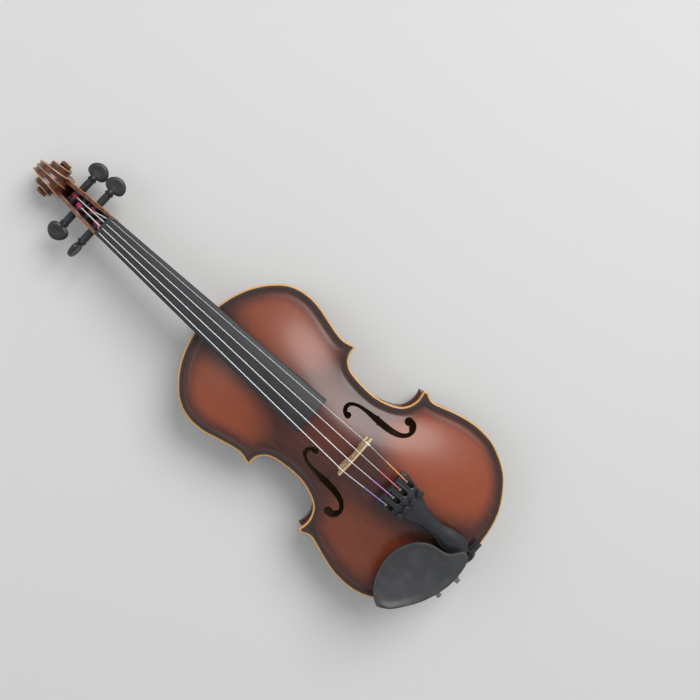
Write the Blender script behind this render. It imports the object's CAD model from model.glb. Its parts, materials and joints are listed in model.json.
import json
import math
import bmesh
import bpy
import numpy as np
from mathutils import Matrix, Vector
from mathutils.geometry import delaunay_2d_cdt


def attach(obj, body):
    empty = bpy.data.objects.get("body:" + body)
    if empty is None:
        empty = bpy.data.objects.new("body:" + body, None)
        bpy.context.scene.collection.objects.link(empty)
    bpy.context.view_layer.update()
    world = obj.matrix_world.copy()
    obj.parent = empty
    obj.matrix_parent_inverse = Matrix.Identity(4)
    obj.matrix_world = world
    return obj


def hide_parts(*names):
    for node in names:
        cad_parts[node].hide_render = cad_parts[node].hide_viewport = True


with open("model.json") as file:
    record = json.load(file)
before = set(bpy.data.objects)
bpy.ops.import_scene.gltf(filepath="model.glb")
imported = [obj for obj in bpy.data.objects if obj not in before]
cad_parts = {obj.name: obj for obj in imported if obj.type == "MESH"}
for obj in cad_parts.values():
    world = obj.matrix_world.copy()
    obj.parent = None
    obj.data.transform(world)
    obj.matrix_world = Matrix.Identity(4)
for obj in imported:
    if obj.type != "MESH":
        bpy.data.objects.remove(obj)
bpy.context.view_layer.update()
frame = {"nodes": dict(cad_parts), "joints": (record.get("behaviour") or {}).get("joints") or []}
nodes = frame["nodes"]
joints = {joint["name"]: joint for joint in frame["joints"]}

# Places are drawn in millimetres on the violin itself: x towards the thin strings, y from the
# tail edge towards the scroll, z out of the belly from its glue plane. laid() lies it on its back.
body = {
    "length": 350.0, "lowerHalf": 101.5, "waistHalf": 54.5, "upperHalf": 84.0, "ribHeight": 31.0,
    "edgeThickness": 4.0, "bellyRise": 12.0, "backRise": 11.0, "nut": 478.5, "boardEnd": 212.0,
    "bridge": 157.0,
}
head = {"eyeY": 553.5, "eyeZ": -21.5, "radius": 21.5, "half": 20.5}
pegs = {
    "g": {"station": 10.4, "level": -7.0, "side": -1, "turn": 88.0, "coil": -3.4, "silk": 0.62},
    "e": {"station": 23.2, "level": -10.0, "side": 1, "turn": 10.0, "coil": 3.0, "silk": 0.50},
    "d": {"station": 36.2, "level": -13.5, "side": -1, "turn": 10.0, "coil": -2.4, "silk": 0.58},
    "a": {"station": 46.4, "level": -17.0, "side": 1, "turn": 10.0, "coil": 2.0, "silk": 0.54},
}
stringOrder = {"g": -1.5, "d": -0.5, "a": 0.5, "e": 1.5}

backDepth = body["ribHeight"] + body["edgeThickness"] + body["backRise"]
scrollDepth = head["radius"] - head["eyeZ"]
lean = -math.atan2(backDepth - scrollDepth, head["eyeY"] - body["length"] / 2)
leanTurn = np.array([
    [1, 0, 0], [0, math.cos(lean), -math.sin(lean)], [0, math.sin(lean), math.cos(lean)],
])
pegDrawn = np.array([0, body["nut"] + pegs["a"]["station"], pegs["a"]["level"]])
shift = np.array(joints["peg_turn_a"]["pos_m"]) * 1000 - leanTurn @ pegDrawn
shift[0] = 0.0


def laid(points):
    # turned by the lean about x, moved to the frame's origin, and made metres
    return (np.asarray(points, float) @ leanTurn.T + shift) / 1000


# Shapes

def smoothLine(knots, count, closed=False):
    # a cubic through the knots whose slopes make its curvature continuous, spaced by chord length
    knots = np.asarray(knots, float)
    if closed:
        whole = len(knots)
        knots = np.vstack([knots, knots, knots, knots[:1]])
    steps = np.linalg.norm(np.diff(knots, axis=0), axis=1)
    ways = np.diff(knots, axis=0) / steps[:, None]
    size = len(knots)
    matrix = np.zeros((size, size))
    wanted = np.zeros_like(knots)
    inner = np.arange(1, size - 1)
    matrix[inner, inner - 1] = steps[1:]
    matrix[inner, inner] = 2 * (steps[:-1] + steps[1:])
    matrix[inner, inner + 1] = steps[:-1]
    wanted[1:-1] = 3 * (steps[1:, None] * ways[:-1] + steps[:-1, None] * ways[1:])
    matrix[0, 0] = matrix[-1, -1] = 1
    wanted[0] = ways[0] + (ways[0] - ways[1]) * steps[0] / (steps[0] + steps[1])
    wanted[-1] = ways[-1] + (ways[-1] - ways[-2]) * steps[-1] / (steps[-1] + steps[-2])
    slopes = np.linalg.solve(matrix, wanted)
    at = np.concatenate([[0], np.cumsum(steps)])
    if closed:
        places = np.linspace(at[whole], at[2 * whole], count, endpoint=False)
    else:
        places = np.linspace(0, at[-1], count)
    index = np.clip(np.searchsorted(at, places, side="right") - 1, 0, size - 2)
    share = ((places - at[index]) / steps[index])[:, None]
    span = steps[index][:, None]
    return (
        (2 * share**3 - 3 * share**2 + 1) * knots[index]
        + (share**3 - 2 * share**2 + share) * span * slopes[index]
        + (3 * share**2 - 2 * share**3) * knots[index + 1]
        + (share**3 - share**2) * span * slopes[index + 1]
    )


def smoothValue(knots, places):
    # a smooth curve through (place, value) knots, with each slope taken from both neighbours
    at, value = np.array(knots, float).T
    before = np.r_[0, np.arange(len(at) - 1)]
    after = np.r_[np.arange(1, len(at)), len(at) - 1]
    slope = (value[after] - value[before]) / (at[after] - at[before])
    places = np.clip(places, at[0], at[-1])
    index = np.clip(np.searchsorted(at, places, side="right") - 1, 0, len(at) - 2)
    span = at[index + 1] - at[index]
    share = (places - at[index]) / span
    return (
        (2 * share**3 - 3 * share**2 + 1) * value[index]
        + (share**3 - 2 * share**2 + share) * span * slope[index]
        + (3 * share**2 - 2 * share**3) * value[index + 1]
        + (share**3 - share**2) * span * slope[index + 1]
    )


def rampUp(value, low, high):
    # nought below low, one above high, with an S between
    share = np.clip((value - low) / (high - low), 0, 1)
    return share * share * (3 - 2 * share)


def gapTo(points, loop):
    # the shortest distance from each point to the closed loop's straight pieces
    way = np.roll(loop, -1, axis=0) - loop
    square = (way * way).sum(1)
    gaps = []
    for part in np.array_split(points, max(1, len(points) // 1500)):
        away = part[:, None] - loop[None]
        share = np.clip((away * way).sum(2) / square, 0, 1)
        gaps.append(np.linalg.norm(away - share[..., None] * way, axis=2).min(1))
    return np.concatenate(gaps)


def within(points, loop):
    # a point is inside when a line from it towards +x crosses the loop an odd number of times
    x, y = points[:, :1], points[:, 1:]
    start, end = loop, np.roll(loop, -1, axis=0)
    crosses = (start[:, 1] > y) != (end[:, 1] > y)
    rise = end[:, 1] - start[:, 1]
    rise = np.where(rise == 0, 1e-12, rise)
    meets = start[:, 0] + (end[:, 0] - start[:, 0]) * (y - start[:, 1]) / rise
    return (crosses & (x < meets)).sum(1) % 2 == 1


def movedIn(loop, distance):
    # each point of an anticlockwise loop moved inwards, by the mitre of its two edges
    ahead = np.roll(loop, -1, axis=0) - loop
    ahead = ahead / np.linalg.norm(ahead, axis=1)[:, None]
    behind = np.roll(ahead, 1, axis=0)
    normals = np.stack([-(ahead + behind)[:, 1], (ahead + behind)[:, 0]], axis=1)
    normals = normals / np.linalg.norm(normals, axis=1)[:, None]
    cosine = np.clip((normals * np.stack([-ahead[:, 1], ahead[:, 0]], axis=1)).sum(1), 0.5, 1)
    return loop + normals * (distance / cosine)[:, None]


def anticlockwise(loop):
    ahead = np.roll(loop, -1, axis=0)
    area = (loop[:, 0] * ahead[:, 1] - ahead[:, 0] * loop[:, 1]).sum()
    return loop if area > 0 else loop[::-1]


def circle(x, y, radius, count=40):
    angle = np.linspace(0, 2 * math.pi, count, endpoint=False)
    return np.stack([x + radius * np.cos(angle), y + radius * np.sin(angle)], axis=1)


def sheet(outline, holes, spacing, rings, holeRings=()):
    # triangles that fill the outline less its holes: points in rows beside the edges, then an
    # even grid whose rows are 0.87 of the spacing apart, as in equal triangles
    low, high = outline.min(0), outline.max(0)
    x, y = np.meshgrid(
        np.arange(low[0], high[0], spacing), np.arange(low[1], high[1], spacing * 0.87),
    )
    x = x + (np.arange(len(x)) % 2)[:, None] * spacing / 2
    grid = np.stack([x.ravel(), y.ravel()], axis=1)
    grid = grid[within(grid, outline)]
    grid = grid[gapTo(grid, outline) > max(rings, default=0) + spacing * 0.5]
    rows = []
    for distance in rings:
        row = movedIn(outline, distance)
        kept = within(row, outline) & (gapTo(row, outline) > distance * 0.97)
        rows.append(row[kept])
    for hole in holes:
        clear = gapTo(grid, hole) > max(holeRings, default=0) + spacing * 0.45
        grid = grid[~within(grid, hole) & clear]
        for distance in holeRings:
            row = movedIn(hole, -distance)
            kept = ~within(row, hole) & (gapTo(row, hole) > distance * 0.9)
            rows.append(row[kept & within(row, outline)])
    loops = [outline, *holes]
    points = np.vstack([*loops, *rows, grid])
    edges = []
    start = 0
    for loop in loops:
        here = np.arange(start, start + len(loop))
        edges.append(np.stack([here, np.roll(here, -1)], axis=1))
        start += len(loop)
    made = delaunay_2d_cdt(
        list(map(Vector, points.tolist())), np.vstack(edges).tolist(), [], 0, 1e-6,
    )
    places = np.array([tuple(place) for place in made[0]])
    faces = np.array(made[2])
    middles = places[faces].mean(1)
    kept = within(middles, outline)
    for hole in holes:
        kept &= ~within(middles, hole)
    faces = faces[kept]
    a, b, c = places[faces[:, 0]], places[faces[:, 1]], places[faces[:, 2]]
    area = (b[:, 0] - a[:, 0]) * (c[:, 1] - a[:, 1]) - (b[:, 1] - a[:, 1]) * (c[:, 0] - a[:, 0])
    faces[area < 0] = faces[area < 0][:, ::-1]
    used, faces = np.unique(faces, return_inverse=True)
    return places[used], faces.reshape(-1, 3)


def slabOf(outline, holes, spacing, rings, top, bottom, holeRings=()):
    # a solid between two heights over one sheet, walled along each edge that only one triangle
    # has; the gap is each point's distance from the outline
    flat, faces = sheet(outline, holes, spacing, rings, holeRings)
    gap = gapTo(flat, outline)
    farAway = gap * 0 + 1e3
    holeGap = np.min([gapTo(flat, hole) for hole in holes], axis=0) if holes else farAway
    x, y = flat.T
    size = len(flat)
    upper = np.stack([x, y, top(x, y, gap, holeGap)], axis=1)
    lower = np.stack([x, y, bottom(x, y, gap, holeGap)], axis=1)
    sides = np.vstack([faces[:, [0, 1]], faces[:, [1, 2]], faces[:, [2, 0]]])
    keys = sides[:, 0] * size + sides[:, 1]
    back = sides[:, 1] * size + sides[:, 0]
    rim = sides[~np.isin(keys, back)]
    walls = np.stack([rim[:, 1], rim[:, 0], rim[:, 0] + size, rim[:, 1] + size], axis=1)
    allFaces = [faces, faces[:, ::-1] + size, walls]
    return np.vstack([upper, lower]), allFaces, gap


def ringFaces(rows, across, closedAlong=False):
    # quads between neighbouring closed rings, and one face over each end
    row = np.arange(rows if closedAlong else rows - 1)[:, None]
    column = np.arange(across)[None]
    nextRow = (row + 1) % rows
    nextColumn = (column + 1) % across
    quads = np.stack([
        row * across + column, row * across + nextColumn,
        nextRow * across + nextColumn, nextRow * across + column,
    ], axis=-1).reshape(-1, 4)
    if closedAlong:
        return [quads]
    first = np.arange(across)[::-1]
    last = np.arange(across) + (rows - 1) * across
    return [quads, first[None], last[None]]


def turned(profile, start, way, sides=48):
    # a profile of (distance along, radius) carried round a line along x from start
    along, radius = np.array(profile, float).T
    way = np.array(way, float)
    first = np.cross(way, [0, 0, 1.0])
    second = np.cross(way, first)
    angle = np.linspace(0, 2 * math.pi, sides, endpoint=False)[:, None]
    around = first * np.cos(angle) + second * np.sin(angle)
    middle = np.array(start, float) + along[:, None] * way
    return middle[:, None] + around[None] * radius[:, None, None]


class Pieces:
    # gathers points and faces of one piece, then makes the mesh
    def __init__(self):
        self.points = []
        self.faces = []
        self.marks = {}
        self.size = 0

    def add(self, points, faces, **marks):
        points = np.asarray(points, float).reshape(-1, 3)
        for face in faces:
            self.faces += (np.asarray(face) + self.size).tolist()
        for key, values in marks.items():
            self.marks.setdefault(key, [])
            self.marks[key].append((self.size, np.asarray(values, float).ravel()))
        self.points.append(points)
        self.size += len(points)
        return self

    def addRings(self, rings, closedAlong=False, **marks):
        rows, across = rings.shape[:2]
        return self.add(rings, ringFaces(rows, across, closedAlong), **marks)

    def make(self, name, material, bodyName="violin", replaced=(), slot=None, sharp=40.0):
        mesh = bpy.data.meshes.new(name)
        mesh.from_pydata(laid(np.vstack(self.points)).tolist(), [], self.faces)
        for key, spans in self.marks.items():
            values = np.zeros(self.size)
            for start, part in spans:
                values[start:start + len(part)] = part
            mesh.attributes.new(key, "FLOAT", "POINT").data.foreach_set("value", values)
        cleanUp(mesh)
        mesh.polygons.foreach_set("use_smooth", np.ones(len(mesh.polygons), bool))
        mesh.set_sharp_from_angle(angle=math.radians(sharp))
        mesh.materials.append(material)
        piece = bpy.data.objects.new(name, mesh)
        bpy.context.scene.collection.objects.link(piece)
        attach(piece, bodyName)
        if replaced:
            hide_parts(*replaced)
        return piece


def cleanUp(mesh):
    # doubles merged, then faces turned outwards
    work = bmesh.new()
    work.from_mesh(mesh)
    bmesh.ops.remove_doubles(work, verts=work.verts, dist=2e-6)
    bmesh.ops.dissolve_degenerate(work, edges=work.edges, dist=1e-7)
    bmesh.ops.recalc_face_normals(work, faces=work.faces)
    work.to_mesh(mesh)
    work.free()


# Finishes

class Wire:
    # a value in a finish, on which sums can be written
    def __init__(self, finish, socket):
        self.finish = finish
        self.socket = socket

    def __add__(self, other):
        return self.finish.sum("ADD", self, other)

    def __sub__(self, other):
        return self.finish.sum("SUBTRACT", self, other)

    def __rsub__(self, other):
        return self.finish.sum("SUBTRACT", other, self)

    def __mul__(self, other):
        return self.finish.sum("MULTIPLY", self, other)

    def __truediv__(self, other):
        return self.finish.sum("DIVIDE", self, other)

    def __pow__(self, other):
        return self.finish.sum("POWER", self, other)

    __radd__ = __add__


class Finish:
    # a material's nodes, added one at a time
    def __init__(self, name, **settings):
        self.material = bpy.data.materials.new(name)
        self.material.use_nodes = True
        self.tree = self.material.node_tree
        self.tree.nodes.clear()
        self.shader = self.tree.nodes.new("ShaderNodeBsdfPrincipled")
        out = self.tree.nodes.new("ShaderNodeOutputMaterial")
        self.tree.links.new(self.shader.outputs[0], out.inputs[0])
        self.coordinates = self.tree.nodes.new("ShaderNodeTexCoord")
        for key, value in settings.items():
            self.set(key, value)

    def set(self, key, value):
        names = {"colour": "Base Color", "roughness": "Roughness", "metallic": "Metallic",
                 "coat": "Coat Weight", "coatRoughness": "Coat Roughness", "normal": "Normal",
                 "specular": "Specular IOR Level"}
        self.plug(self.shader.inputs[names[key]], value)

    def plug(self, socket, value):
        if isinstance(value, Wire):
            self.tree.links.new(value.socket, socket)
        elif isinstance(value, (tuple, list)) and len(value) == 3 and socket.type == "RGBA":
            socket.default_value = (*value, 1)
        else:
            socket.default_value = value

    def node(self, kind, settings=None, inputs=None, output=0):
        made = self.tree.nodes.new(kind)
        for key, value in (settings or {}).items():
            if key == "stops":
                ramp = made.color_ramp
                while len(ramp.elements) < len(value):
                    ramp.elements.new(0.5)
                for element, (place, colour) in zip(ramp.elements, value):
                    element.position = place
                    element.color = (*colour, 1)
            else:
                setattr(made, key, value)
        for key, value in (inputs or {}).items():
            self.plug(made.inputs[key], value)
        return Wire(self, made.outputs[output])

    def sum(self, operation, *values):
        return self.node("ShaderNodeMath", {"operation": operation}, dict(enumerate(values)))

    def place(self, scale=(1, 1, 1), rotation=(0, 0, 0)):
        where = Wire(self, self.coordinates.outputs["Object"])
        return self.node("ShaderNodeMapping", {}, {
            "Vector": where, "Scale": scale, "Rotation": rotation,
        })

    def axis(self, index):
        where = Wire(self, self.coordinates.outputs["Object"])
        return self.node("ShaderNodeSeparateXYZ", {}, {0: where}, index)

    def mark(self, key):
        return self.node("ShaderNodeAttribute", {"attribute_name": key}, {}, 2)

    def noise(self, where, scale, detail, roughness):
        return self.node("ShaderNodeTexNoise", {}, {
            "Vector": where, "Scale": scale, "Detail": detail, "Roughness": roughness,
        })

    def ramp(self, value, stops):
        return self.node("ShaderNodeValToRGB", {"stops": stops}, {0: value})

    def step(self, value, low, high):
        return self.node("ShaderNodeMapRange", {"interpolation_type": "SMOOTHSTEP"}, {
            "Value": value, "From Min": low, "From Max": high,
        })

    def mix(self, share, first, second):
        return self.node("ShaderNodeMix", {"data_type": "RGBA"}, {
            0: share, 6: first, 7: second,
        }, 2)

    def bump(self, height, distance, strength):
        made = self.node("ShaderNodeBump", {}, {
            "Height": height, "Distance": distance, "Strength": strength,
        })
        self.set("normal", made)


def laidY(y):
    # where a place along the violin comes on the frame's y axis, in metres
    return float(laid([0, y, 0])[1])


varnish = {
    "dark": (0.026, 0.0072, 0.0055), "brown": (0.082, 0.0165, 0.0085), "red": (0.31, 0.060, 0.018),
    "edge": (0.036, 0.019, 0.016), "flaw": (0.50, 0.30, 0.20),
    "goldLow": (0.52, 0.20, 0.030), "goldHigh": (0.92, 0.52, 0.12),
}
bareColour = (0.33, 0.22, 0.12)
pitches = {"grain": 0.00125, "flame": 0.0085}


def spot(made, x, y, reach, tall):
    # one at a place on the belly, falling with the square of the distance to nought at an oval
    away = ((made.axis(0) - x / 1000) / (reach / 1000)) ** 2
    beyond = ((made.axis(1) - laidY(y)) / (tall / 1000)) ** 2
    return 1 - made.step(away + beyond, 0.0, 1.0)


def bellyFinish():
    # the glow is the largest of five ovals of red in brown; the grain is a sine across the
    # length, bent by noise; the edge darkens with its gap and is rubbed to gold at the rim
    made = Finish("bellyVarnish", coat=0.5, coatRoughness=0.23, specular=0.45)
    gap = made.mark("gap")
    x = made.axis(0)
    cloud = made.noise(made.place((1, 0.45, 1)), 14, 3, 0.55)
    fine = made.noise(made.place((1, 0.6, 1)), 55, 4, 0.6)
    lower = made.sum(
        "MAXIMUM", spot(made, 56, 80, 66, 102) * 1.08, spot(made, -62, 92, 52, 92) * 0.50,
    )
    upper = made.sum(
        "MAXIMUM", spot(made, -52, 284, 50, 84) * 0.85, spot(made, 50, 288, 56, 88) * 0.80,
    )
    middle = spot(made, 6, 210, 70, 90) * 0.38
    glow = made.sum("MAXIMUM", made.sum("MAXIMUM", lower, upper), middle)
    inward = made.step(gap, 2.0, 22) * 0.75 + 0.25
    glow = (glow + 0.10) * inward + (cloud - 0.5) * 0.42 + (fine - 0.5) * 0.14
    colour = made.ramp(glow, [
        (0.0, varnish["dark"]), (0.38, varnish["brown"]), (1.0, varnish["red"]),
    ])
    fibre = made.noise(made.place((900, 6, 900)), 1.0, 4, 0.6)
    wander = made.noise(made.place((3, 1.2, 3)), 6, 2, 0.5)
    stripe = made.sum("SINE", (x + (wander - 0.5) * 0.004) * (2 * math.pi / pitches["grain"]))
    grain = made.step(stripe, 0.2, 1.0)
    colour = made.mix(grain * 0.26, colour, (0.030, 0.009, 0.006))
    colour = made.mix(made.step(fibre, 0.45, 0.75) * 0.16, colour, (0.36, 0.12, 0.05))
    wear = made.noise(made.place((1, 1, 1)), 160, 4, 0.6)
    band = made.step(gap + (cloud - 0.5) * 3 + (fine - 0.5) * 1.5, 1.0, 9.0)
    colour = made.mix((1 - band) * 0.92, colour, varnish["edge"])
    scuff = made.noise(made.place((60, 320, 60), rotation=(0, 0, 0.5)), 1.0, 5, 0.7)
    scuffed = made.step(scuff, 0.66, 0.72) * spot(made, 84, 60, 34, 58)
    colour = made.mix(scuffed * 0.7, colour, varnish["flaw"])
    rubbed = 1 - made.step(gap + (wear - 0.5) * 1.3, 1.35, 1.75)
    gold = made.mix(wear, varnish["goldLow"], varnish["goldHigh"])
    colour = made.mix(rubbed, colour, gold)
    colour = made.mix(made.mark("inside"), colour, bareColour)
    made.set("colour", colour)
    made.set("roughness", 0.33 + (fibre - 0.5) * 0.16 + rubbed * 0.15)
    made.bump(stripe * 0.5 + fibre * 0.8, 0.00006, 0.6)
    return made.material


def mapleFinish(name, edge=True, worn=False):
    # flames lie across the length, broken by noise
    made = Finish(name, coat=0.55, coatRoughness=0.18)
    y = made.axis(1)
    wander = made.noise(made.place((2.2, 1, 2.2)), 18, 2, 0.5)
    flame = made.sum("SINE", (y + (wander - 0.5) * 0.020) * (2 * math.pi / pitches["flame"]))
    flecks = made.noise(made.place((500, 30, 500)), 1.0, 3, 0.6)
    cloud = made.noise(made.place((1, 1, 1)), 9, 2, 0.5)
    colour = made.ramp(flame * 0.22 + 0.5 + (cloud - 0.5) * 0.6, [
        (0.1, (0.065, 0.016, 0.009)), (0.9, (0.215, 0.056, 0.022)),
    ])
    colour = made.mix(made.step(flecks, 0.5, 0.8) * 0.35, colour, (0.035, 0.012, 0.008))
    wear = made.noise(made.place((1, 1, 1)), 170, 4, 0.6)
    if edge:
        gap = made.mark("gap")
        colour = made.mix((1 - made.step(gap, 1.9, 9)) * 0.6, colour, (0.050, 0.016, 0.010))
        colour = made.mix(made.mark("inside"), colour, bareColour)
    if worn:
        rubbed = made.step(made.mark("worn") + (wear - 0.5) * 0.7, 0.45, 0.75)
        colour = made.mix(rubbed, colour, made.mix(wear, (0.40, 0.16, 0.04), (0.74, 0.42, 0.13)))
        colour = made.mix(made.mark("deep"), colour, (0.045, 0.013, 0.009))
    made.set("colour", colour)
    made.set("roughness", 0.32 + (flecks - 0.5) * 0.15)
    made.bump(flecks, 0.00004, 0.4)
    return made.material


def plainWood(
    name, colour, fibreColour, scale=(700, 20, 700), roughness=0.6, bump=0.00008, coat=0.0,
):
    # noise stretched along the length makes the fibres, and even noise makes the clouds
    made = Finish(name, coat=coat, coatRoughness=0.3)
    fibre = made.noise(made.place(scale), 1.0, 4, 0.6)
    cloud = made.noise(made.place((1, 1, 1)), 40, 3, 0.5)
    share = made.step(fibre, 0.35, 0.75) * 0.7 + (cloud - 0.5) * 0.3
    made.set("colour", made.mix(share, colour, fibreColour))
    made.set("roughness", roughness + (fibre - 0.5) * 0.2)
    made.bump(fibre, bump, 0.6)
    return made.material


def moulded(name, colour, roughness=0.42, scale=900, bump=0.00003, metallic=0.0, worn=None):
    # a fine grain in height, and clouds of a lighter colour
    made = Finish(name, metallic=metallic)
    fine = made.noise(made.place(), scale, 3, 0.6)
    cloud = made.noise(made.place(), 60, 3, 0.55)
    light = worn or tuple(min(1.0, part * 1.7 + 0.01) for part in colour)
    share = made.step(cloud + (fine - 0.5) * 0.4, 0.42, 0.8) * 0.5
    made.set("colour", made.mix(share, colour, light))
    made.set("roughness", roughness + (cloud - 0.5) * 0.22 + (fine - 0.5) * 0.1)
    made.bump(fine, bump, 0.5)
    return made.material


stringLooks = {
    "g": {"tail": (0.17, 0.14, 0.40), "pitch": 0.00042},
    "d": {"tail": (0.46, 0.12, 0.46), "pitch": 0.00036},
    "a": {"tail": (0.80, 0.10, 0.14), "pitch": 0.00030},
    "e": {"tail": (0.85, 0.40, 0.07), "pitch": 0.00050},
}


tailSilkEnd = 131.0


def stringFinish(key, coilStart):
    # bright winding, a sine along the length, between a silk end at the tail and one at the peg
    look = stringLooks[key]
    made = Finish("stringWinding_" + key)
    y = made.axis(1)
    winding = made.sum("SINE", y * (2 * math.pi / look["pitch"]))
    tailSilk = 1 - made.step(y, laidY(tailSilkEnd), laidY(tailSilkEnd + 0.6))
    headSilk = made.step(y, laidY(coilStart - 0.4), laidY(coilStart))
    thread = made.noise(made.place((400, 4000, 400)), 1.0, 2, 0.5)
    wire = made.mix(winding * 0.25 + 0.5, (0.78, 0.78, 0.79), (0.97, 0.97, 0.98))
    tailColour = made.mix(thread * 0.28, look["tail"], (0.9, 0.8, 0.8))
    headColour = made.mix(thread * 0.4, (0.50, 0.03, 0.09), (0.85, 0.35, 0.40))
    colour = made.mix(tailSilk, wire, tailColour)
    colour = made.mix(headSilk, colour, headColour)
    silk = made.sum("MAXIMUM", tailSilk, headSilk)
    made.set("colour", colour)
    made.set("metallic", 0.45 - silk * 0.45)
    made.set("roughness", 0.30 + silk * 0.35)
    made.bump(winding, 0.00003, 0.5)
    return made.material


# The violin's outline and arch

lowerShape = [
    (0.0, 0.0), (0.207, 0.0026), (0.374, 0.0094), (0.562, 0.0286), (0.709, 0.0557),
    (0.828, 0.0871), (0.926, 0.1314), (0.985, 0.1771), (1.0, 0.2229), (0.985, 0.2686),
    (0.941, 0.3171), (0.901, 0.3514), (0.880, 0.3780), (0.914, 0.4014),
]
waistShape = [
    (1.0, 0.4157), (0.66, 0.4105), (0.32, 0.4262), (0.115, 0.4614), (0.015, 0.5),
    (0.0, 0.5429), (0.06, 0.5857), (0.24, 0.6200), (0.54, 0.6357), (1.0, 0.6394),
]
upperShape = [
    (0.914, 0.6523), (0.890, 0.6800), (0.905, 0.7086), (0.952, 0.7543), (0.995, 0.8029),
    (0.990, 0.8514), (0.917, 0.8986), (0.798, 0.9314), (0.655, 0.9586), (0.452, 0.9829),
    (0.25, 0.9966), (0.0, 1.0),
]
archWidths = [
    (-0.03, 0.20), (0.0, 0.32), (0.029, 0.56), (0.057, 0.69), (0.10, 0.83), (0.143, 0.90),
    (0.223, 0.935), (0.286, 0.905), (0.343, 0.81), (0.40, 0.66), (0.457, 0.535),
    (0.53, 0.475), (0.586, 0.50), (0.643, 0.58), (0.70, 0.68), (0.757, 0.735),
    (0.829, 0.755), (0.886, 0.70), (0.929, 0.60), (0.966, 0.45), (1.0, 0.25), (1.03, 0.15),
]
cornerHalf = {"lower": body["lowerHalf"] * 0.897, "upper": body["upperHalf"] * 0.923}


def waistKnots():
    # shares run from the waist's narrowest place to each corner
    rows = np.array(waistShape)
    corner = np.where(rows[:, 1] < 0.53, cornerHalf["lower"], cornerHalf["upper"])
    return np.stack([
        body["waistHalf"] + rows[:, 0] * (corner - body["waistHalf"]), rows[:, 1] * body["length"],
    ], axis=1)


lowerLine = smoothLine(np.array(lowerShape) * [body["lowerHalf"], body["length"]], 130)
waistLine = smoothLine(waistKnots(), 80)
upperLine = smoothLine(np.array(upperShape) * [body["upperHalf"], body["length"]], 110)
trebleLine = np.vstack([lowerLine, waistLine, upperLine])
bodyOutline = np.vstack([trebleLine[:-1], (trebleLine * [-1, 1])[::-1][:-1]])


def archShare(x, y):
    # one at the crown, falling as a cosine along the length and across each width
    middle = body["length"] / 2
    along = np.clip(np.abs(y - middle) / (middle - 7), 0, 1)
    half = smoothValue(archWidths, y / body["length"]) * body["lowerHalf"]
    across = np.clip(np.abs(x) / half, 0, 1)
    return 0.25 * (1 + np.cos(math.pi * along**2.2)) * (1 + np.cos(math.pi * across**1.25))


def roundedEdge(gap, radius):
    # a quarter circle that starts upright at the edge
    share = np.clip(1 - gap / radius, 0, 1)
    return radius * (np.sqrt(1 - share * share) - 1)


def soundHole(side):
    # a slot with a nick on each side, and an eye at each end
    far = [(20.3, 186.6), (21.9, 190.4), (25.2, 193.4), (29.4, 194.3), (34.0, 192.2),
    (37.7, 186.6),
           (39.9, 177.5), (41.4, 168.0), (42.5, 159.0), (42.9, 151.0), (43.5, 143.5),
           (45.0, 136.4),
           (47.8, 131.4), (51.4, 129.3)]
    near = [(63.0, 134.6), (62.3, 129.8), (58.6, 126.0), (51.6, 124.9), (44.2, 128.6),
    (39.2, 136.2),
            (36.8, 145.0), (35.8, 156.0), (36.0, 165.0), (36.4, 172.0), (36.0, 179.5),
            (34.2, 186.0),
            (31.2, 189.4), (27.6, 189.6), (25.4, 187.8)]
    upperEye, lowerEye = (23.4, 185.4), (58.9, 135.9)
    flip = np.array([side, 1])
    slot = np.vstack([smoothLine(far, 56), [lowerEye], smoothLine(near, 60), [upperEye]]) * flip
    loops = [slot]
    for (x, y), radius in ((upperEye, 3.3), (lowerEye, 4.4)):
        loops.append(circle(x * side, y, radius))
    for x, y, way in ((42.2, 161.5, 1), (36.0, 157.5, -1)):
        nick = [(x - way * 1.2, y + 1.7), (x - way * 1.2, y - 1.7), (x + way * 1.8, y)]
        loops.append(np.array(nick) * flip)
    return [anticlockwise(loop) for loop in loops]


edgeRings = (0.06, 0.25, 0.55, 0.95, 1.45, 2.0, 2.6, 3.4, 4.3, 5.3, 6.4, 7.8, 9.4, 11.2)


def plateOutside(rise):
    def height(x, y, gap, holeGap):
        # flat to the inlay, a shallow channel, then the arch
        share = archShare(x, y) * rampUp(gap, 5.4, 12.0)
        channel = 0.5 * np.exp(-((gap - 8.2) / 2.4) ** 2)
        return body["edgeThickness"] - 0.04 + rise * share - channel + roundedEdge(gap, 1.9)
    return height


def plateInside(crown):
    def height(x, y, gap, holeGap):
        return np.maximum(0, -1.2 + (crown + 1.2) * archShare(x, y)) - roundedEdge(gap, 1.9)
    return height


def plateMarks(gap):
    # each face's gap from the edge, and the bare wood inside
    return {"gap": np.r_[gap, gap], "inside": np.r_[gap * 0, np.where(gap > 4.5, 1.0, 0.0)]}


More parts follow.
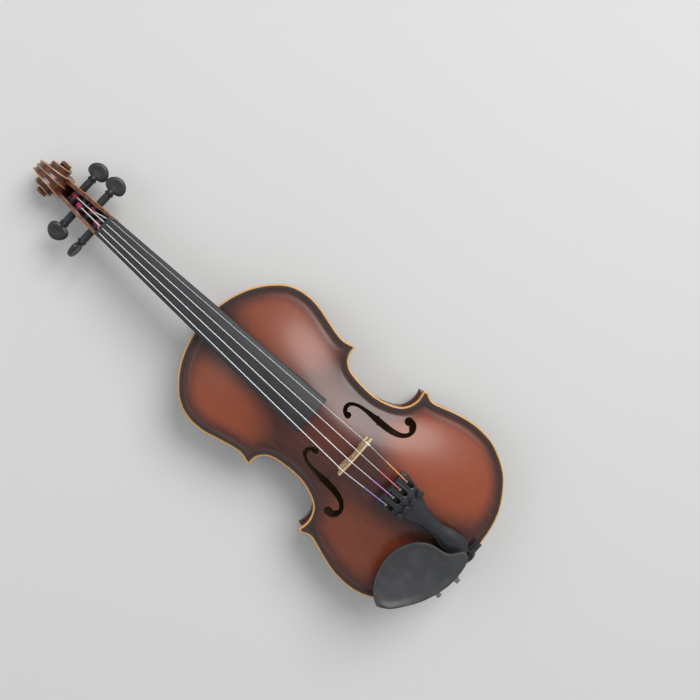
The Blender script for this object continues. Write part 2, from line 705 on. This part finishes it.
def makePlates():
    holes = soundHole(1) + soundHole(-1)
    saddleSpace = np.array([(-17.5, -1.0), (17.5, -1.0), (17.5, 8.0), (-17.5, 8.0)])
    outside = plateOutside(body["bellyRise"])
    inside = plateInside(body["edgeThickness"] + body["bellyRise"] - 3)
    points, faces, gap = slabOf(
        bodyOutline, holes + [saddleSpace], 2.6, edgeRings, outside, inside, (0.35, 1.2),
    )
    belly = Pieces().add(points, faces, **plateMarks(gap))
    belly.make("bellyPlate", bellyFinish(), replaced=["belly"], slot="varnished_spruce")
    button = circle(0, 349, 11.0, 60)
    button = button[button[:, 1] > 350.5]
    button = button[np.argsort(button[:, 0])[::-1]]
    top = np.argmax(bodyOutline[:, 1])
    clear = (np.abs(bodyOutline[:, 0]) > 11.2) | (bodyOutline[:, 1] < 200)
    before, after = bodyOutline[:top][clear[:top]], bodyOutline[top:][clear[top:]]
    outline = np.vstack([before, button, after])
    outside = plateOutside(body["backRise"])
    inside = plateInside(body["edgeThickness"] + body["backRise"] - 3.6)
    points, faces, gap = slabOf(outline, [], 3.2, edgeRings, outside, inside)
    points = points * [1, 1, -1] - [0, 0, body["ribHeight"]]
    back = Pieces().add(points, faces, **plateMarks(gap))
    back.make("backPlate", mapleFinish("backVarnish"), replaced=["back"], slot="varnished_maple")
    print("plates made")


# Neck, pegbox and scroll

board = {
    "nutTop": 4.7, "slope": 0.1178, "radius": 42.0, "edge": 5.0, "nutHalf": 12.0, "endHalf": 21.0,
    "shoulder": 0.8, "bevel": 0.3,
}
boardLength = body["nut"] - body["boardEnd"]


def boardTop(y):
    return board["nutTop"] + board["slope"] * (body["nut"] - y)


def boardHalf(y):
    share = (body["nut"] - y) / boardLength
    return board["nutHalf"] + (board["endHalf"] - board["nutHalf"]) * share


def boardBottom(y):
    # the top's edge, where the crown has fallen by half squared over twice its radius, less
    # the edge's thickness, straight between the two ends
    double = 2 * board["radius"]
    nutLow = board["nutTop"] - board["nutHalf"] ** 2 / double - board["edge"]
    endLow = boardTop(body["boardEnd"]) - board["endHalf"] ** 2 / double - board["edge"]
    return nutLow + (body["nut"] - y) / boardLength * (endLow - nutLow)


def makeBoard():
    # the section is an arc on top, two rounded shoulders, upright sides and a flat underside
    end = body["boardEnd"]
    y = np.r_[np.linspace(body["nut"], end + 0.6, 60), end + 0.15, end]
    shrink = np.r_[np.ones(60), 0.985, 0.965]
    half = boardHalf(y)[:, None]
    across = np.linspace(-1, 1, 25)
    shoulder, bevel = board["shoulder"], board["bevel"]
    x = across * (half - shoulder)
    crown = boardTop(y)[:, None]
    topZ = crown - x * x / (2 * board["radius"])
    low = boardBottom(y)[:, None]
    edgeZ = crown - half * half / (2 * board["radius"])
    corner = np.linspace(0, math.pi / 2, 5)[1:-1]
    right = [
        (half - shoulder + shoulder * np.sin(turn), edgeZ + 0.02 - shoulder * (1 - np.cos(turn)))
        for turn in corner
    ]
    right += [(half, edgeZ - 0.9), (half, low + bevel), (half - bevel, low)]
    left = [(-away, height) for away, height in right[::-1]]
    rows = [np.stack([x, topZ], axis=-1)]
    rows += [np.stack([away, height], axis=-1) for away, height in right + left]
    section = np.concatenate(rows, axis=1)
    middle = (crown + low) / 2
    section[..., 0] *= shrink[:, None]
    section[..., 1] = middle + (section[..., 1] - middle) * shrink[:, None]
    along = np.broadcast_to(y[:, None], section.shape[:2])
    piece = Pieces().addRings(np.stack([section[..., 0], along, section[..., 1]], axis=-1))
    finish = plainWood(
        "boardBlack", (0.020, 0.021, 0.024), (0.045, 0.046, 0.050), (500, 14, 500), 0.52, 0.00003,
    )
    piece.make("fingerboardBlank", finish, replaced=["fingerboard"], slot="black_hardwood")
    print("fingerboard made")


neckRows = [
    (479.5, -13.5, 0.85), (440.5, -11.4, 0.85), (402.0, -8.2, 0.85), (380.0, -5.2, 0.85),
    (370.0, -4.2, 0.85), (365.0, -6.4, 0.85), (360.0, -11.5, 0.84), (356.0, -18.5, 0.82),
    (353.5, -25.5, 0.80), (352.0, -31.0, 0.78),
]
pegboxTop = [(-1.0, -1.2), (5.0, 2.2), (21.0, -0.6), (38.0, -4.8), (53.0, -9.0), (63.5, -13.0)]
pegboxLow = [(-1.0, -13.5), (15.0, -17.5), (34.0, -27.5), (53.0, -35.5), (64.5, -38.5)]
troughLow = [(4.8, -12.4), (17.0, -14.6), (32.0, -20.5), (53.0, -27.5), (60.0, -24.0)]
pegboxHalf = [(-2.0, 12.4), (6.0, 12.4), (32.0, 11.2), (63.5, 9.4), (73.0, 9.2)]
troughHalf = [(5.0, 8.9), (32.0, 7.0), (61.0, 4.8)]


def neckRings():
    # each section is flat on top and below it a U, cosine by sine with powers near one
    y, low, share = smoothLine(neckRows, 90).T
    half = boardHalf(np.maximum(y, 352)) - 0.1
    top = boardBottom(y)
    angle = np.linspace(0, math.pi, 25)
    ux = np.sign(np.cos(angle)) * np.abs(np.cos(angle)) ** 0.86
    uz = -np.abs(np.sin(angle)) ** 0.9
    narrow = 1 - (1 - share[:, None]) * (-uz)
    x = half[:, None] * ux * narrow
    z = top[:, None] + (top - low)[:, None] * uz
    return np.stack([x, np.broadcast_to(y[:, None], x.shape), z], axis=-1)


def pegboxRings():
    # a U whose hollow closes at both ends, with a ridge between two flutes underneath
    reach = np.r_[np.linspace(-1, 5, 8), np.linspace(5.4, 59, 60), np.linspace(59.5, 64, 8)]
    top = smoothValue(pegboxTop, reach)
    low = smoothValue(pegboxLow, reach)
    half = smoothValue(pegboxHalf, reach)
    inner = smoothValue(troughHalf, reach)
    floor = smoothValue(troughLow, reach)
    hollow = rampUp(reach, 4.9, 5.9) * (1 - rampUp(reach, 55.0, 60.5))
    floor = top + (floor - top) * hollow
    flute = rampUp(reach, 14, 40) * 1.1
    rows = []
    worn = []
    deep = []

    def put(x, z, rubbed=0.0, hidden=0.0):
        rows.append(np.stack([x, reach + body["nut"], z], axis=-1))
        worn.append(reach * 0 + rubbed)
        deep.append(reach * 0 + hidden)

    bevel = 0.7
    for side in (1, -1):
        marks = [
            (inner, floor + 0.6, 0, 1), (inner + 0.2, top - 0.5, 0.3, 0.4),
            (inner + bevel, top, 0.5, 0),
            (half - bevel, top, 0.25, 0), (half - 0.15, top - 0.35, 1, 0),
            (half, top - bevel, 0.6, 0),
            (half, low + 3.0, 0, 0), (half - 0.3, low + 1.3, 0.6, 0),
            (half - 1.1, low + 0.4, 0.6, 0),
            (half * 0.72, low + flute * 0.7, 0, 0), (half * 0.5, low + flute, 0, 0),
            (half * 0.25, low + flute * 0.75, 0, 0),
        ]
        if side < 0:
            marks = marks[::-1]
        for x, z, rubbed, hidden in marks:
            put(x * side, z, rubbed, hidden)
        if side > 0:
            put(reach * 0, low + flute * 0.1, 0.8)
    put(-inner * 0.8, floor, 0, 1)
    put(inner * 0.8, floor, 0, 1)
    return np.stack(rows, axis=1), np.stack(worn, axis=1), np.stack(deep, axis=1)


spiral = {"start": -0.32 * math.pi, "turns": 4.62 * math.pi}
spiralKnots = [
    (-0.5, 21.5), (0.5, 21.5), (1.0, 20.2), (1.5, 17.0), (2.0, 14.8), (2.5, 13.0), (3.0, 10.8),
    (3.5, 8.8), (4.0, 7.2), (4.5, 6.0), (5.0, 5.2), (7.0, 4.2),
]
bandHalf = [
    (-0.5, 9.0), (0.0, 8.4), (0.5, 5.9), (1.0, 7.8), (1.5, 11.6), (2.0, 12.6), (2.5, 13.2),
    (3.0, 14.8), (3.5, 16.3), (4.0, 17.7), (4.5, 18.8), (5.0, 19.3), (7.0, 19.6),
]


def spiralRadius(angle):
    return smoothValue(spiralKnots, angle / math.pi)


def spiralHalf(angle):
    return smoothValue(bandHalf, angle / math.pi)


def scrollSide(side):
    # each turn: its wall, a small bevel, and a hollowed face in to the next turn's wall
    perTurn = 96
    first = round(spiral["start"] / (2 * math.pi) * perTurn)
    last = round(spiral["turns"] / (2 * math.pi) * perTurn)
    angle = np.arange(first, last + 1) * 2 * math.pi / perTurn
    radius = spiralRadius(angle)
    half = spiralHalf(angle)
    inner = spiralRadius(angle + 2 * math.pi)
    whole = angle < 2 * math.pi - 1e-9
    foot = np.where(whole, 0.0, spiralHalf(angle - 2 * math.pi) - 0.6)
    share = np.linspace(0, 1, 9)
    wallX = foot[:, None] + (half - 0.7 - foot)[:, None] * share
    deep = np.where(whole, 1.7, 0.35)[:, None]
    wallR = radius[:, None] - deep * np.sin(math.pi * share) ** 1.3
    faceR = (radius - 0.7)[:, None] + (inner - radius + 0.7)[:, None] * share
    faceX = half[:, None] - 0.6 * share - 1.0 * np.sin(math.pi * share) ** 1.2
    bevelR = (radius - 0.2)[:, None]
    bevelX = (half - 0.2)[:, None]
    r = np.concatenate([wallR, bevelR, faceR], axis=1)
    x = np.concatenate([wallX, bevelX, faceX], axis=1) * side
    y = head["eyeY"] - r * np.sin(-angle)[:, None]
    z = head["eyeZ"] - r * np.cos(angle)[:, None]
    points = np.stack([x, y, z], axis=-1)
    rows, across = points.shape[:2]
    row = np.arange(rows - 1)[:, None]
    column = np.arange(across - 1)[None]
    quads = np.stack([
        row * across + column, row * across + column + 1,
        (row + 1) * across + column + 1, (row + 1) * across + column,
    ], axis=-1).reshape(-1, 4)
    startCap = np.arange(across)[None]
    endCap = np.arange(across)[None] + (rows - 1) * across
    worn = np.zeros((rows, across))
    worn[:, 8:10] = 1.0
    worn[:, 10] = 0.5
    worn[whole, 0] = 1.0
    deep = np.zeros((rows, across))
    deep[:, 1:8] = 0.62 * np.sin(math.pi * share[1:8])
    deep[:, 10:] = 0.5 * share
    return points, [quads, startCap, endCap], worn, deep


def makeNeck():
    neck = Pieces()
    neck.addRings(neckRings())
    rings, worn, deep = pegboxRings()
    neck.addRings(rings, worn=worn, deep=deep)
    for side in (1, -1):
        points, faces, worn, deep = scrollSide(side)
        neck.add(points, faces, worn=worn, deep=deep)
        end = head["half"]
        eye = [(16.5, 5.0), (19.4, 5.0), (20.0, 4.5), (20.4, 3.2), (end, 1.4), (end, 0.0)]
        rings = turned(eye, (0, head["eyeY"], head["eyeZ"]), (side, 0, 0), 40)
        neck.addRings(rings, worn=np.repeat([0.0, 0.4, 0.9, 0.5, 0, 0], 40))
    finish = mapleFinish("neckVarnish", False, True)
    neck.make("neckAndScroll", finish, replaced=["neck"], slot="varnished_maple", sharp=35)
    print("neck and scroll made")


# Pegs and their windings

thumb = {"reach": 24.5, "halfLong": 8.4, "halfWide": 10.7, "halfThick": 3.3}


def cheekHalf(station):
    if station < 32:
        return 12.4 - (station - 6) * 0.046
    return 11.2 - (station - 32) * 0.057


def shaftRadius(along, cheek):
    return 3.9 - (cheek + 9 - along) / 60


def thumbRings():
    # rings of an oval with full shoulders at the stem, drawn in and raised as a pillow with a
    # low middle
    rise = np.linspace(-1, 1, 31)
    angle = np.linspace(0, 2 * math.pi, 56, endpoint=False)
    shrink = np.clip(1 - np.abs(rise) ** 2.6, 0, 1) ** 0.45
    height = np.sign(rise) * np.abs(rise) ** 0.7 * thumb["halfThick"]
    height = height - np.sign(rise) * 0.9 * rampUp(1 - shrink, 0.30, 0.85)
    cosine = np.cos(angle)
    along = thumb["halfLong"] * np.sign(cosine) * np.abs(cosine) ** np.where(cosine < 0, 0.78, 1.0)
    wide = thumb["halfWide"] * np.sin(angle) * (1 - 0.13 * cosine - 0.03)
    flat = np.stack([along, wide], axis=-1)[None] * np.maximum(shrink, 0.002)[:, None, None]
    return np.concatenate([flat, np.broadcast_to(height[:, None, None], (31, 56, 1))], axis=2)


def makePegs(woodFinish, silkFinish):
    for key, peg in pegs.items():
        side = peg["side"]
        cheek = cheekHalf(peg["station"])
        centre = np.array([0, body["nut"] + peg["station"], peg["level"]])
        small = shaftRadius(-cheek, cheek)
        profile = [
            (-cheek, 0), (-cheek, small - 0.4), (-cheek + 0.1, small - 0.15),
            (-cheek + 0.4, small),
            (cheek + 9.0, 3.9), (cheek + 12.6, 3.7), (cheek + 12.8, 4.2), (cheek + 13.2, 4.75),
            (cheek + 13.7, 4.8), (cheek + 14.1, 4.3), (cheek + 14.3, 3.9), (cheek + 14.6, 4.3),
            (cheek + 15.0, 4.5), (cheek + 15.5, 4.2), (cheek + 15.9, 3.5), (cheek + 17.5, 3.2),
            (cheek + 20.0, 2.8), (cheek + 21.5, 0),
        ]
        piece = Pieces()
        piece.addRings(turned(profile, centre, (side, 0, 0), 40))
        turn = math.radians(peg["turn"])
        local = thumbRings()
        x = (cheek + thumb["reach"]) * side + local[..., 0] * side
        y = local[..., 1] * math.cos(turn) - local[..., 2] * math.sin(turn)
        z = local[..., 1] * math.sin(turn) + local[..., 2] * math.cos(turn)
        piece.addRings(np.stack([x, y + centre[1], z + centre[2]], axis=-1))
        piece.make("turnedPeg_" + key, woodFinish, "peg_" + key, ["peg_" + key], "peg_black", 50)

        thread = peg["silk"] * 0.86
        spin = np.linspace(0, 4 * 2 * math.pi, 4 * 36 + 1)
        along = peg["coil"] - 2.05 + spin / spin[-1] * 4.1
        away = shaftRadius(along * side, cheek) + thread * 0.92
        path = np.stack([
            along, centre[1] - np.sin(spin) * away, centre[2] + np.cos(spin) * away,
        ], axis=-1)
        winding = Pieces()
        winding.addRings(helixTube(path, thread))
        winding.make("wound_" + key, silkFinish, "peg_" + key, ["peg_coil_" + key], "string_silk", 60)
    print("pegs made")


def helixTube(path, radius, sides=12):
    # circles square to a winding path round an axis along x
    way = np.gradient(path, axis=0)
    way = way / np.linalg.norm(way, axis=1)[:, None]
    axis = np.array([1.0, 0, 0])
    first = axis - way * (way @ axis)[:, None]
    first = first / np.linalg.norm(first, axis=1)[:, None]
    second = np.cross(way, first)
    angle = np.linspace(0, 2 * math.pi, sides, endpoint=False)
    around = first[:, None] * np.cos(angle)[:, None] + second[:, None] * np.sin(angle)[:, None]
    return path[:, None] + around * radius


# Tailpiece

tail = {
    "tilt": math.radians(8.53), "headY": 112, "headZ": 33, "half": 20, "tunerGap": 9.9,
    "windowHalf": 2.6, "windowEnds": (-5.1, -16.4), "boreY": -26.4, "underside": -5.5,
}
tailWidths = [
    (0.0, 0.96), (1.5, 1.0), (12.0, 0.985), (22.0, 0.87), (34.0, 0.68), (45.0, 0.49), (58.0, 0.38),
    (70.0, 0.415), (80.0, 0.53), (89.0, 0.60), (96.0, 0.61), (101.5, 0.45), (104.5, 0.18),
]


def onTail(points):
    # from the tailpiece's own frame, whose origin is the middle of its head, to the violin's
    points = np.asarray(points, float)
    x, y, z = np.moveaxis(points, -1, 0)
    return np.stack([
        x, tail["headY"] + y * math.cos(tail["tilt"]) - z * math.sin(tail["tilt"]),
        tail["headZ"] + y * math.sin(tail["tilt"]) + z * math.cos(tail["tilt"]),
    ], axis=-1)


def makeTailpiece(finish):
    edge = smoothLine([(half * tail["half"], -reach) for reach, half in tailWidths], 90)
    outline = anticlockwise(np.vstack([edge, (edge * [-1, 1])[::-1]]))
    windows = []
    bores = []
    for order in stringOrder.values():
        x = order * tail["tunerGap"]
        angle = np.linspace(0, math.pi, 14)
        bend = np.stack([np.cos(angle), np.sin(angle)], axis=1) * tail["windowHalf"]
        far, near = [x, tail["windowEnds"][0]] + bend, [x, tail["windowEnds"][1]] - bend
        windows.append(anticlockwise(np.vstack([far, near])))
        bores.append(circle(x, tail["boreY"], 1.0, 16))

    def top(x, y, gap, holeGap):
        # a crown of 60 mm radius, steeper where narrow, with a raised rim round each window
        half = smoothValue(tailWidths, -y) * tail["half"]
        rim = np.exp(-((holeGap - 0.75) / 0.42) ** 2)
        rim = rim * rampUp(-y, 3.2, 5.0) * (1 - rampUp(-y, 21.0, 23.0))
        narrow = 3.6 * rampUp(-y, 20, 50) * np.clip(np.abs(x) / half, 0, 1) ** 2
        ridge = 0.35 * np.exp(-((gap - 1.5) / 0.6) ** 2) * rampUp(-y, 2.5, 6.0)
        return np.sqrt(3600 - x * x) - 60.1 - narrow + 0.30 * rim + ridge + roundedEdge(gap, 0.9)

    def bottom(x, y, gap, holeGap):
        # flat under the levers, 2 mm lower behind them
        belly = 2.0 * rampUp(-y, 32, 46) * (1 - rampUp(-y, 84, 96))
        return tail["underside"] - belly - roundedEdge(gap, 0.6)

    points, faces, _ = slabOf(
        outline, windows + bores, 1.6, (0.05, 0.2, 0.45, 0.8, 1.2, 1.7, 2.3), top, bottom,
        (0.3, 0.7, 1.1, 1.6),
    )
    piece = Pieces().add(onTail(points), faces)
    for order in stringOrder.values():
        # a collar round each screw, 1 mm above the crown
        x = order * tail["tunerGap"]
        rise = 1 - x * x / 120
        collar = [(rise - 3, 1.05), (rise - 3, 2.4), (rise - 0.2, 2.4), (rise, 2.2), (rise, 1.05)]
        rings = [np.c_[circle(x, tail["boreY"], r, 28), np.full(28, z)] for z, r in collar]
        piece.addRings(onTail(np.stack(rings)), closedAlong=True)
    piece.make("tailBody", finish, replaced=["tailpiece"], slot="black_composite", sharp=32)
    print("tailpiece made")


# Chinrest

chinOutline = [
    (-12.0, 33.0), (-14.5, 44.0), (-21.0, 54.0), (-32.0, 62.0), (-47.0, 66.5), (-64.0, 65.0),
    (-80.0, 58.5), (-89.5, 49.5), (-93.0, 43.0), (-87.8, 33.0), (-77.0, 23.0), (-63.5, 13.8),
    (-47.0, 7.0), (-30.0, 3.6), (-12.0, 4.0), (-2.0, 7.2), (2.2, 12.6), (-1.5, 17.8), (-9.5, 24.5),
]


def makeChinrest(finish):
    # the outline starts and ends at its pointed corner, which stays sharp
    tip = chinOutline.index(min(chinOutline))
    outline = anticlockwise(smoothLine(chinOutline[tip:] + chinOutline[:tip + 1], 221)[:-1])

    def top(x, y, gap, holeGap):
        # a bowl cut by a ball of 154.5 mm radius, within a rim with two rounded edges
        away = (x + 50) ** 2 + (y - 36) ** 2
        bowl = 178 - np.sqrt(154.5**2 - away)
        flat = np.minimum(bowl, 27.9)
        dish = 1.0 * rampUp(gap, 1.6, 7.0)
        return flat - dish * rampUp(27.9 - bowl, -1.5, 0.6) - 0.25 * dish + roundedEdge(gap, 0.9)

    def bottom(x, y, gap, holeGap):
        return 20.3 + 2.6 * (1 - rampUp(gap, 0, 9)) - roundedEdge(gap, 1.2)

    points, faces, _ = slabOf(
        outline, [], 2.4, (0.05, 0.2, 0.45, 0.8, 1.2, 1.7, 2.4, 3.2, 4.2, 5.4, 6.8), top, bottom,
    )
    piece = Pieces().add(points, faces)
    outer, inner = (
        line[(line[:, 0] > -57.5) & (line[:, 0] < -18.5) & (line[:, 1] < 40)]
        for line in (movedIn(bodyOutline, 4.2), movedIn(bodyOutline, 9.8))
    )
    foot = anticlockwise(np.vstack([outer, inner[::-1]]))
    points, faces, _ = slabOf(
        foot, [], 1.6, (0.3, 0.7), lambda x, y, gap, far: 21.5 + 0 * x,
        lambda x, y, gap, far: 5.5 - roundedEdge(gap, 0.5),
    )
    piece.add(points, faces)
    piece.make("chinPlate", finish, replaced=["chinrest_plate"], slot="black_composite", sharp=35)
    print("chinrest made")


makePlates()
makeBoard()
makeNeck()


# Every kept CAD piece gets its finish

def dress(material, *names):
    for name in names:
        nodes[name].data.materials.clear()
        nodes[name].data.materials.append(material)


ribFinish = mapleFinish("ribVarnish", False)
blackWood = plainWood(
    "blackWood", (0.014, 0.014, 0.016), (0.035, 0.034, 0.036), (500, 20, 500), 0.4, 0.00003, 0.1,
)
compositeFinish = moulded("tailComposite", (0.021, 0.022, 0.026), 0.29)
chinFinish = moulded("chinComposite", (0.040, 0.041, 0.044), 0.42, 700, 0.00004)
knobFinish = moulded("knobBlack", (0.018, 0.018, 0.020), 0.34)
steelFinish = moulded(
    "screwSteel", (0.55, 0.55, 0.57), 0.26, 600, 0.00001, 1.0, (0.75, 0.75, 0.76),
)
chromeFinish = moulded(
    "clampNickel", (0.30, 0.30, 0.30), 0.26, 300, 0.00001, 1.0, (0.42, 0.42, 0.41),
)
brassFinish = moulded(
    "ballBrass", (0.34, 0.29, 0.20), 0.35, 600, 0.00001, 1.0, (0.45, 0.38, 0.26),
)
corkFinish = plainWood(
    "corkPad", (0.42, 0.25, 0.12), (0.16, 0.08, 0.04), (300, 300, 300), 0.85, 0.0003,
)
bareSpruce = plainWood("bareSpruce", (0.62, 0.44, 0.25), (0.42, 0.26, 0.13))
bridgeFinish = plainWood(
    "bridgeMaple", (0.66, 0.47, 0.29), (0.40, 0.24, 0.12), (900, 900, 90), 0.55, 0.00008,
)
cordFinish = moulded("tailCord", (0.015, 0.015, 0.016), 0.5)
sleeveFinish = moulded("whiteSleeve", (0.80, 0.80, 0.77), 0.4)
inlayFinish = plainWood("inlayBlack", (0.012, 0.010, 0.009), (0.030, 0.022, 0.018))
silkFinish = moulded("pegSilk", (0.42, 0.02, 0.07), 0.6, 1500, 0.0001, 0, (0.75, 0.20, 0.26))
for part in ("lower", "waist", "upper"):
    dress(ribFinish, part + "_rib_treble", part + "_rib_bass")
dress(bareSpruce, "neck_block", "end_block", "corner_blocks", "belly_linings", "back_linings")
dress(bareSpruce, "bass_bar", "sound_post")
dress(blackWood, "nut", "saddle", "end_button")
makeTailpiece(compositeFinish)
makeChinrest(chinFinish)
makePegs(blackWood, silkFinish)
dress(chromeFinish, "chinrest_upper_clamp", "chinrest_lower_clamp", "chinrest_barrels")
dress(corkFinish, "chinrest_belly_cork", "chinrest_back_cork")
dress(steelFinish, "lever_pins")
dress(bridgeFinish, "bridge")
dress(sleeveFinish, "string_sleeve_e")
dress(inlayFinish, "purfling")
dress(cordFinish, "tail_gut")
for key in pegs:
    dress(stringFinish(key, body["nut"] + pegs[key]["station"] - 3.5), "string_" + key)
    dress(knobFinish, "tuner_knob_" + key, "tuner_lever_" + key)
    dress(steelFinish, "tuner_screw_" + key)
    dress(brassFinish, "string_ball_" + key)
print("finishes made")


# Floor, light and camera

def makeFloor():
    mesh = bpy.data.meshes.new("floor")
    half = 4.0
    corners = [(-half, -half, 0), (half, -half, 0), (half, half, 0), (-half, half, 0)]
    mesh.from_pydata(corners, [], [(0, 1, 2, 3)])
    made = Finish("paleFloor", roughness=0.75)
    cloud = made.noise(made.place(), 2.2, 3, 0.5)
    made.set("colour", made.mix(cloud, (0.665, 0.670, 0.662), (0.685, 0.690, 0.680)))
    mesh.materials.append(made.material)
    floor = bpy.data.objects.new("floor", mesh)
    bpy.context.scene.collection.objects.link(floor)


def areaLight(name, place, size, power, colour):
    # a disk aimed at the origin
    light = bpy.data.lights.new(name, "AREA")
    light.shape = "DISK"
    light.size = size
    light.energy = power
    light.color = colour
    lamp = bpy.data.objects.new(name, light)
    lamp.location = place
    lamp.rotation_mode = "QUATERNION"
    lamp.rotation_quaternion = (-Vector(place)).to_track_quat("-Z", "Y")
    bpy.context.scene.collection.objects.link(lamp)


view = {
    "lens": 46.29, "sensor": 36, "place": (0.04679, -0.00148, 0.92746),
    "right": (0.67404, -0.73573, 0.06616), "forward": (0.02823, -0.06385, -0.99756),
}


def makeCamera():
    camera = bpy.data.cameras.new("camera")
    camera.lens = view["lens"]
    camera.sensor_width = view["sensor"]
    camera.clip_end = 20
    seat = bpy.data.objects.new("camera", camera)
    right = Vector(view["right"])
    forward = Vector(view["forward"]).normalized()
    up = right.cross(forward).normalized()
    right = forward.cross(up)
    turn = Matrix((right, up, -forward)).transposed()
    seat.matrix_world = Matrix.Translation(view["place"]) @ turn.to_4x4()
    bpy.context.scene.collection.objects.link(seat)
    bpy.context.scene.camera = seat


makeFloor()
makeCamera()
world = bpy.data.worlds.new("studio")
bpy.context.scene.world = world
world.use_nodes = True
world.node_tree.nodes["Background"].inputs[0].default_value = (0.97, 0.985, 1.0, 1)
world.node_tree.nodes["Background"].inputs[1].default_value = 0.43
areaLight("window", (2.35, 0.05, 2.65), 2.7, 93, (1.0, 0.995, 0.985))
areaLight("room", (-1.2, 1.9, 2.2), 2.4, 16, (0.93, 0.97, 1.0))
bpy.context.scene.view_settings.view_transform = "Standard"
print("floor, lights and camera made")
